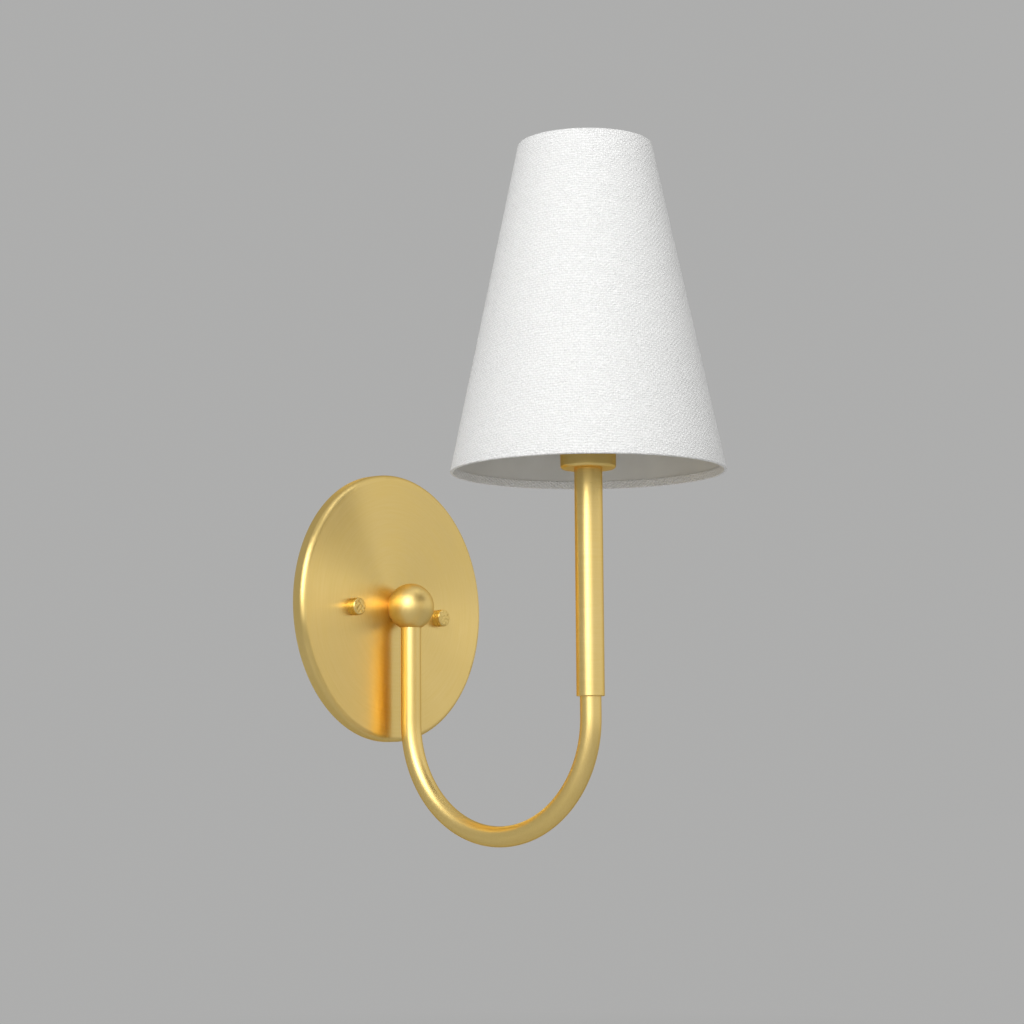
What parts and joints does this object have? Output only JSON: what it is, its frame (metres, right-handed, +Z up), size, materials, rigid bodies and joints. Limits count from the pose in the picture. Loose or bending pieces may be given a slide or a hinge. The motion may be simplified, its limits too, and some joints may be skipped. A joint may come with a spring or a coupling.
{
  "type": "fabric shade wall light",
  "caption": "Wall light with a round backplate, a ball, a U-shaped brass arm rising to a stem and socket cup, and a tapered fabric shade over a candelabra lampholder.",
  "frame": {"origin": "centre of the crossbar's screw pattern, on the wall plane behind the backplate", "axes": "+Z up, +Y into the wall, +X to the right of someone facing the wall; the light stands out towards -Y"},
  "size_m": [0.127, 0.1838, 0.3173],
  "materials": {
    "satin_brass": "satin, brushed in fine lines",
    "zinc_steel": "zinc plated",
    "green_screw": "green passivated",
    "holder_moulding": "moulded, semi matt",
    "contact_brass": "stamped",
    "line_insulation": "extruded",
    "neutral_insulation": "extruded",
    "white_wire": "powder coated white",
    "liner_sheet": "matt sheet",
    "shade_cloth": "plain woven linen",
    "nickel_base": "nickel plated, rolled",
    "solder_tip": "solder",
    "opal_glass": "opal white"
  },
  "bodies": {
    "fixture": {"backplate": "satin_brass", "crossbar": "zinc_steel", "mounting_studs": "zinc_steel", "stud_nuts": "zinc_steel", "ground_screw": "green_screw", "wall_nipple": "zinc_steel", "lock_washer": "zinc_steel", "lock_nut": "zinc_steel", "arm_ball": "satin_brass", "arm_tube": "satin_brass", "lamp_stem": "satin_brass", "socket_cup": "satin_brass", "stem_nipple": "zinc_steel", "cup_nut": "zinc_steel", "lampholder_body": "holder_moulding", "screw_shell": "contact_brass", "centre_contact": "contact_brass", "line_wire": "line_insulation", "neutral_wire": "neutral_insulation"},
    "nut_left": {"thumb_nut_left": "satin_brass"},
    "nut_right": {"thumb_nut_right": "satin_brass"},
    "collar": {"shade_collar": "holder_moulding"},
    "shade": {"shade_frame": "white_wire", "shade_liner": "liner_sheet", "shade_cover": "shade_cloth"},
    "bulb": {"bulb_base": "nickel_base", "bulb_tip": "solder_tip", "bulb_glass": "opal_glass"}
  },
  "joints": [
    {"name": "nut_left_turn", "type": "hinge", "parent": "fixture", "child": "nut_left", "pos_m": [-0.03018, -0.008, 0.00121], "axis": [0, -1, 0], "range_deg": [0, 1260]},
    {"name": "nut_right_turn", "type": "hinge", "parent": "fixture", "child": "nut_right", "pos_m": [0.03018, -0.008, -0.00121], "axis": [0, -1, 0], "range_deg": [0, 1260]},
    {"name": "collar_turn", "type": "hinge", "parent": "fixture", "child": "collar", "pos_m": [0, -0.1219, 0.084], "axis": [0, 0, 1], "range_deg": [0, 810]},
    {"name": "shade_turn", "type": "hinge", "parent": "fixture", "child": "shade", "pos_m": [0, -0.1219, 0.08], "axis": [0, 0, 1], "continuous": true},
    {"name": "bulb_turn", "type": "hinge", "parent": "fixture", "child": "bulb", "pos_m": [0, -0.1219, 0.09], "axis": [0, 0, 1], "range_deg": [0, 1620]}
  ]
}
